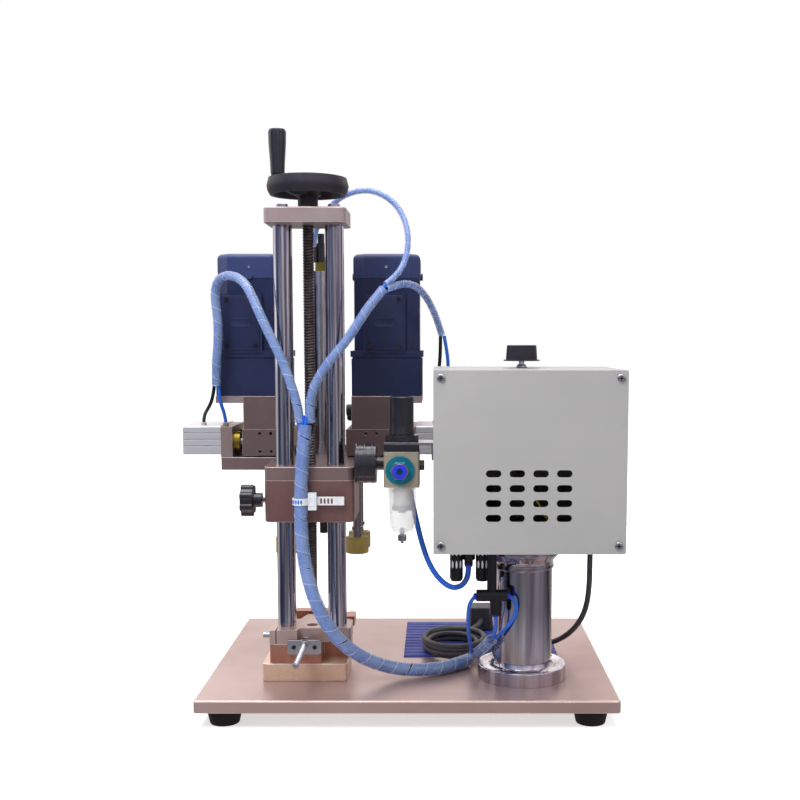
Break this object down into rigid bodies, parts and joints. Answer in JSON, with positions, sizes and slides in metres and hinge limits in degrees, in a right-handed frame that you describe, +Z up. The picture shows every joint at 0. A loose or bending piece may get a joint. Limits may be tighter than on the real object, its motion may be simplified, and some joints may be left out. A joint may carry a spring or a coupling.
{
  "type": "bottle capping machine",
  "caption": "Benchtop machine that screws caps on bottles: motor-driven rollers on a carriage that a handwheel raises on columns, beside a control box on a post.",
  "frame": {"origin": "on the floor, under the middle of the whole machine", "axes": "+Z up, bottles go in on the +Y side, +X towards the control box"},
  "size_m": [0.474, 0.347, 0.608],
  "materials": {
    "plate_champagne": "anodised champagne, satin",
    "black_rubber": "matt",
    "stand_copper": "anodised copper colour, satin",
    "clamp_champagne": "anodised champagne, satin",
    "bright_steel": "polished",
    "column_steel": "ground and hard chromed",
    "screw_steel": "rolled thread, oiled",
    "cap_alloy": "anodised champagne, satin",
    "wheel_black": "moulded, glossy",
    "knob_black": "moulded, fine grain",
    "stop_copper": "anodised copper colour, satin",
    "carriage_brown": "anodised grey-brown, satin",
    "cylinder_alloy": "anodised",
    "press_steel": "polished tube",
    "nylon_white": "milky nylon",
    "box_grey": "light grey, satin",
    "cover_grey": "light grey, satin",
    "valve_mixed": "cast body, dark fittings",
    "gland_black": "moulded",
    "regulator_beige": "cast and painted",
    "inlet_teal": "moulded disc with a bright nut",
    "bowl_clear": "clear, moulded",
    "filter_white": "sintered",
    "gauge_black": "black case, white dial",
    "needle_red": "matt",
    "mat_blue": "ribbed, matt",
    "wrap_milky": "milky spiral wrap",
    "tube_blue": "smooth tube",
    "cord_dark": "cable sheath",
    "slide_brown": "anodised grey-brown, satin",
    "bracket_brown": "anodised grey-brown, satin",
    "motor_navy": "dark blue, satin",
    "pulley_alloy": "turned",
    "belt_black": "toothed belt",
    "roller_olive": "yellow-brown polyurethane"
  },
  "bodies": {
    "frame": {"base_plate": "plate_champagne", "rubber_feet": "black_rubber", "column_foot": "stand_copper", "column_seat": "stand_copper", "column_clamp": "clamp_champagne", "nut_plate": "bright_steel", "guide_columns": "column_steel", "top_plate": "cap_alloy", "control_post": "bright_steel", "control_box": "box_grey", "box_cover": "cover_grey", "pan_screws": "bright_steel", "solenoid_valve": "valve_mixed", "cable_gland": "gland_black", "regulator_bracket": "bright_steel", "regulator_body": "regulator_beige", "inlet_fitting": "inlet_teal", "regulator_bowl": "bowl_clear", "filter_element": "filter_white", "pressure_gauge": "gauge_black", "blue_mat": "mat_blue", "main_bundle": "wrap_milky", "tee_tubes": "tube_blue", "regulator_tube": "tube_blue", "power_cord": "cord_dark", "power_cord_coil": "cord_dark", "power_plug": "cord_dark"},
    "handwheel": {"lead_screw": "screw_steel", "handwheel": "wheel_black"},
    "crank": {"crank_grip": "knob_black"},
    "stop": {"adjusting_rod": "screw_steel", "v_block": "stop_copper"},
    "carriage": {"cross_plate": "carriage_brown", "bearing_block": "carriage_brown", "end_plates": "slide_brown", "air_cylinders": "cylinder_alloy", "press_cylinder": "press_steel", "cable_tie": "nylon_white", "left_cables": "wrap_milky", "right_cables": "wrap_milky"},
    "lock": {"lock_knob": "knob_black"},
    "press": {"press_rod": "bright_steel"},
    "speed": {"speed_knob": "knob_black"},
    "pressure": {"regulator_knob": "wheel_black"},
    "drain": {"drain_valve": "gland_black"},
    "needle": {"gauge_needle": "needle_red"},
    "slide_left": {"slide_block_left": "slide_brown", "motor_bracket_left": "bracket_brown", "gear_motor_left": "motor_navy", "drive_belt_left": "belt_black"},
    "drive_left": {"drive_pulley_left": "pulley_alloy"},
    "roller_left_rear": {"roller_left_rear": "roller_olive"},
    "roller_left_front": {"roller_left_front": "roller_olive"},
    "slide_right": {"slide_block_right": "slide_brown", "motor_bracket_right": "bracket_brown", "gear_motor_right": "motor_navy", "drive_belt_right": "belt_black"},
    "drive_right": {"drive_pulley_right": "pulley_alloy"},
    "roller_right_rear": {"roller_right_rear": "roller_olive"},
    "roller_right_front": {"roller_right_front": "roller_olive"}
  },
  "joints": [
    {"name": "handwheel_turn", "type": "hinge", "parent": "frame", "child": "handwheel", "pos_m": [-0.0835, -0.0685, 0.55], "axis": [0, 0, 1], "range_deg": [-9600, 6000]},
    {"name": "carriage_lift", "type": "slide", "parent": "frame", "child": "carriage", "axis": [0, 0, 1], "range_m": [-0.05, 0.08], "deforming": ["main_bundle"]},
    {"name": "crank_spin", "type": "hinge", "parent": "handwheel", "child": "crank", "pos_m": [-0.1145, -0.0685, 0.585], "axis": [0, 0, 1], "continuous": true},
    {"name": "lock_knob_turn", "type": "hinge", "parent": "carriage", "child": "lock", "pos_m": [-0.1435, -0.0685, 0.2215], "axis": [1, 0, 0], "range_deg": [-360, 0]},
    {"name": "press_stroke", "type": "slide", "parent": "carriage", "child": "press", "axis": [0, 0, 1], "range_m": [-0.02, 0]},
    {"name": "bottle_stop", "type": "slide", "parent": "frame", "child": "stop", "axis": [0, 1, 0], "range_m": [-0.005, 0.03]},
    {"name": "speed_knob_turn", "type": "hinge", "parent": "frame", "child": "speed", "pos_m": [0.1395, -0.0695, 0.375], "axis": [0, 0, 1], "range_deg": [-150, 150]},
    {"name": "regulator_knob_turn", "type": "hinge", "parent": "frame", "child": "pressure", "pos_m": [0.014, -0.0865, 0.315], "axis": [0, 0, 1], "range_deg": [-360, 360]},
    {"name": "drain_valve_turn", "type": "hinge", "parent": "frame", "child": "drain", "pos_m": [0.014, -0.0865, 0.185], "axis": [0, 0, 1], "range_deg": [0, 90]},
    {"name": "gauge_needle_turn", "type": "hinge", "parent": "frame", "child": "needle", "pos_m": [-0.0295, -0.0865, 0.263], "axis": [1, 0, 0], "range_deg": [0, 270]},
    {"name": "left_slide", "type": "slide", "parent": "carriage", "child": "slide_left", "axis": [1, 0, 0], "range_m": [0, 0.012]},
    {"name": "left_drive", "type": "hinge", "parent": "slide_left", "child": "drive_left", "pos_m": [-0.1605, 0.0565, 0.305], "axis": [0, 0, 1], "continuous": true},
    {"name": "left_rear_roller", "type": "hinge", "parent": "slide_left", "child": "roller_left_rear", "pos_m": [-0.1245, 0.039, 0.155], "axis": [0, 0, 1], "continuous": true},
    {"name": "left_front_roller", "type": "hinge", "parent": "slide_left", "child": "roller_left_front", "pos_m": [-0.1245, 0.074, 0.155], "axis": [0, 0, 1], "continuous": true},
    {"name": "right_slide", "type": "slide", "parent": "carriage", "child": "slide_right", "axis": [-1, 0, 0], "range_m": [0, 0.012]},
    {"name": "right_drive", "type": "hinge", "parent": "slide_right", "child": "drive_right", "pos_m": [-0.0065, 0.0565, 0.305], "axis": [0, 0, 1], "continuous": true},
    {"name": "right_rear_roller", "type": "hinge", "parent": "slide_right", "child": "roller_right_rear", "pos_m": [-0.0425, 0.039, 0.155], "axis": [0, 0, 1], "continuous": true},
    {"name": "right_front_roller", "type": "hinge", "parent": "slide_right", "child": "roller_right_front", "pos_m": [-0.0425, 0.074, 0.155], "axis": [0, 0, 1], "continuous": true}
  ],
  "couplings": [
    {"joint": "handwheel_turn", "follows": "carriage_lift", "rad_per_m": -2094.4},
    {"joint": "right_slide", "follows": "left_slide", "ratio": 1},
    {"joint": "left_rear_roller", "follows": "left_drive", "ratio": 1},
    {"joint": "left_front_roller", "follows": "left_drive", "ratio": 1},
    {"joint": "right_rear_roller", "follows": "right_drive", "ratio": 1},
    {"joint": "right_front_roller", "follows": "right_drive", "ratio": 1}
  ]
}
